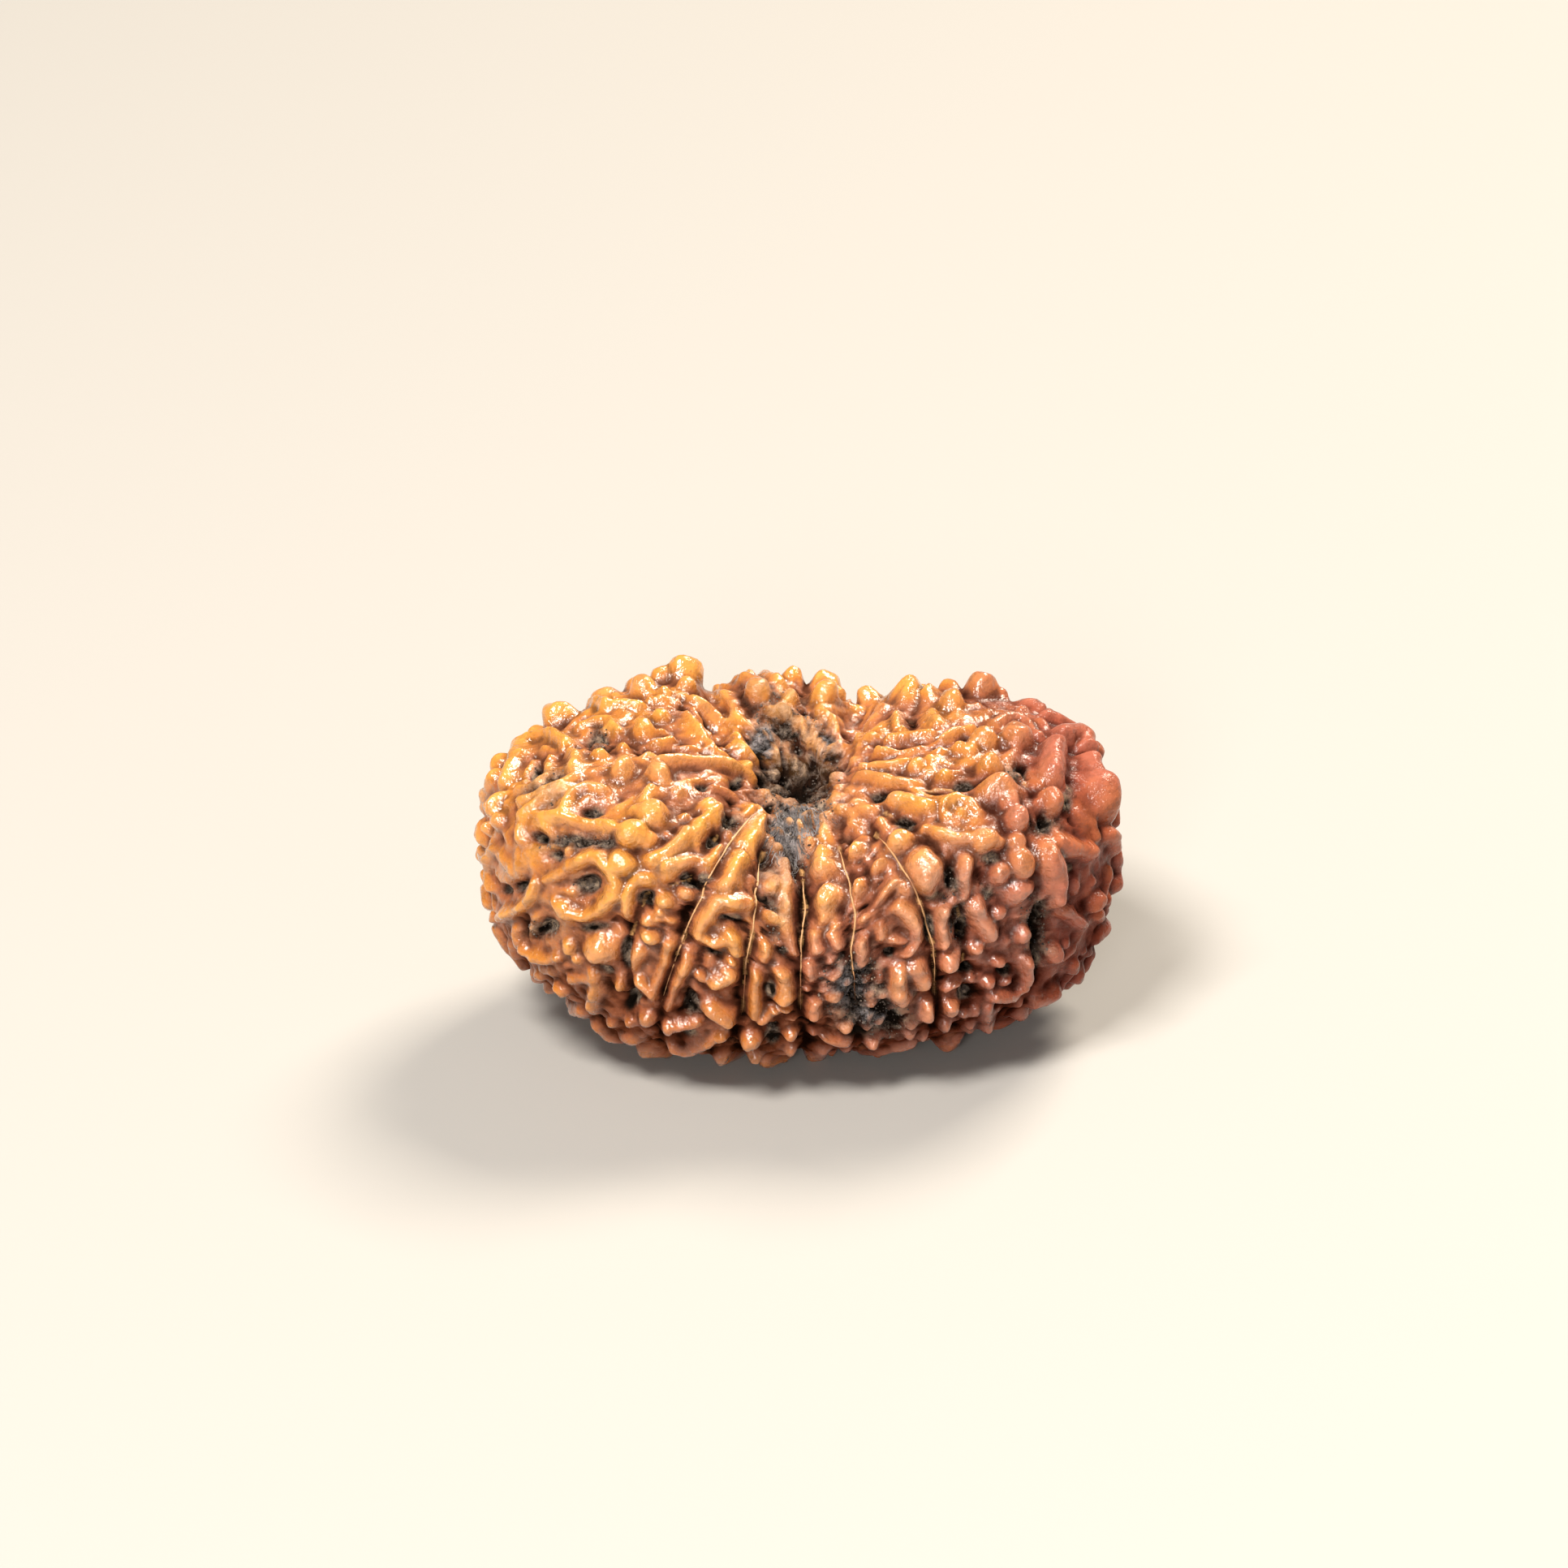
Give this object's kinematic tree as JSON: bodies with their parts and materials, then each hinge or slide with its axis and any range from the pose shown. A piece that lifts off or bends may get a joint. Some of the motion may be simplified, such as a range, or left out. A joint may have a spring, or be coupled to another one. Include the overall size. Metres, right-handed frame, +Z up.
{
  "type": "fifteen mukhi rudraksha bead",
  "caption": "Oval dried rudraksha seed bead with a pit at each pole, a thread channel between them, sutures and knobbly ridges all over, resting on its lower face.",
  "frame": {"origin": "on the resting plane, under the middle of the bead's outline, which is also under the middle of the upper pit", "axes": "+X along the bead's long way, +Y from its front with the low valley to its back, +Z up along the thread channel"},
  "size_m": [0.0278, 0.018, 0.0144],
  "materials": {
    "seed_stone": "oiled, glossy on the ridges and dull in the hollows"
  },
  "bodies": {
    "root": {"rudraksha_bead": "seed_stone"}
  },
  "joints": []
}
